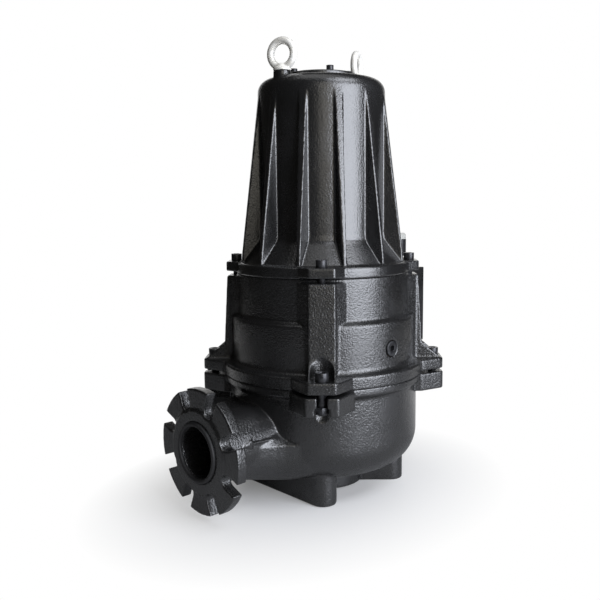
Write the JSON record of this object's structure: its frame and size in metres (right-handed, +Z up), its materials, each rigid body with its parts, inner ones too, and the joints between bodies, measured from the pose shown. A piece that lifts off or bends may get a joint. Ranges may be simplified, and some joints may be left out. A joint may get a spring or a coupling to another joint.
{
  "type": "sewage pump",
  "caption": "Submersible sewage pump: ribbed motor housing over an oil casing and a bowl-shaped volute with a side outlet and slotted flange; the shaft and impeller turn.",
  "frame": {"origin": "centre of the suction mouth's lower edge, on the shaft's axis", "axes": "+Z up along the shaft, towards the lifting eyes; -Y towards the discharge flange; +X completes a right-handed frame"},
  "size_m": [0.352, 0.4917, 0.757],
  "materials": {
    "casing_paint": "semi-gloss black paint over a cast surface",
    "cast_grey": "bare casting, turned on its faces",
    "zinc": "pale zinc plate",
    "black_steel": "blackened screws and plugs",
    "steel": "turned and ground",
    "polished_steel": "polished balls",
    "rubber": "matt",
    "seal_carbide": "lapped dark ceramic",
    "brass": "satin",
    "copper": "enamelled winding and annealed washers",
    "laminations": "stacked sheet",
    "aluminium": "die cast",
    "pale_plastic": "moulded, pale"
  },
  "bodies": {
    "housing": {"volute_casing": "casing_paint", "outlet_seal": "rubber", "oil_casing": "casing_paint", "motor_housing": "casing_paint", "top_cover": "casing_paint", "top_cover_screws": "black_steel", "front_eyebolt": "zinc", "rear_eyebolt": "zinc", "upper_cap_screws": "black_steel", "lower_cap_screws": "black_steel", "lower_nuts": "black_steel", "oil_plugs": "black_steel", "oil_plug_washers": "copper", "cable_box": "casing_paint", "cable_box_screws": "black_steel", "cable_box_gasket": "rubber", "gland_body": "black_steel", "gland_nut": "black_steel", "gland_grommet": "rubber", "gland_cap": "pale_plastic", "suction_wear_ring": "steel", "seal_plate": "steel", "seal_plate_oring": "rubber", "lower_seal_seat": "seal_carbide", "upper_seal_seat": "seal_carbide", "lower_bearing_outer": "steel", "upper_bearing_outer": "steel", "bearing_cover": "cast_grey", "bearing_cover_screws": "black_steel", "wave_spring": "steel", "stator_core": "laminations", "stator_windings": "copper", "housing_oring": "rubber", "top_cover_oring": "rubber", "terminal_block": "pale_plastic", "terminal_screws": "brass"},
    "rotor": {"shaft": "steel", "shaft_circlips": "black_steel", "impeller": "cast_grey", "impeller_key": "steel", "impeller_washer": "steel", "impeller_screw": "steel", "lower_seal_ring": "steel", "upper_seal_ring": "steel", "seal_spring": "steel", "lower_bearing_inner": "steel", "upper_bearing_inner": "steel", "rotor_core": "laminations", "rotor_end_rings": "aluminium"},
    "lower_cage": {"lower_bearing_balls": "polished_steel", "lower_bearing_cage": "brass"},
    "upper_cage": {"upper_bearing_balls": "polished_steel", "upper_bearing_cage": "brass"}
  },
  "joints": [
    {"name": "shaft_spin", "type": "hinge", "parent": "housing", "child": "rotor", "pos_m": [0, 0, 0], "axis": [0, 0, 1], "continuous": true},
    {"name": "lower_cage_spin", "type": "hinge", "parent": "housing", "child": "lower_cage", "pos_m": [0, 0, 0], "axis": [0, 0, 1], "continuous": true},
    {"name": "upper_cage_spin", "type": "hinge", "parent": "housing", "child": "upper_cage", "pos_m": [0, 0, 0], "axis": [0, 0, 1], "continuous": true}
  ],
  "couplings": [
    {"joint": "lower_cage_spin", "follows": "shaft_spin", "ratio": 0.3846},
    {"joint": "upper_cage_spin", "follows": "shaft_spin", "ratio": 0.3967}
  ]
}
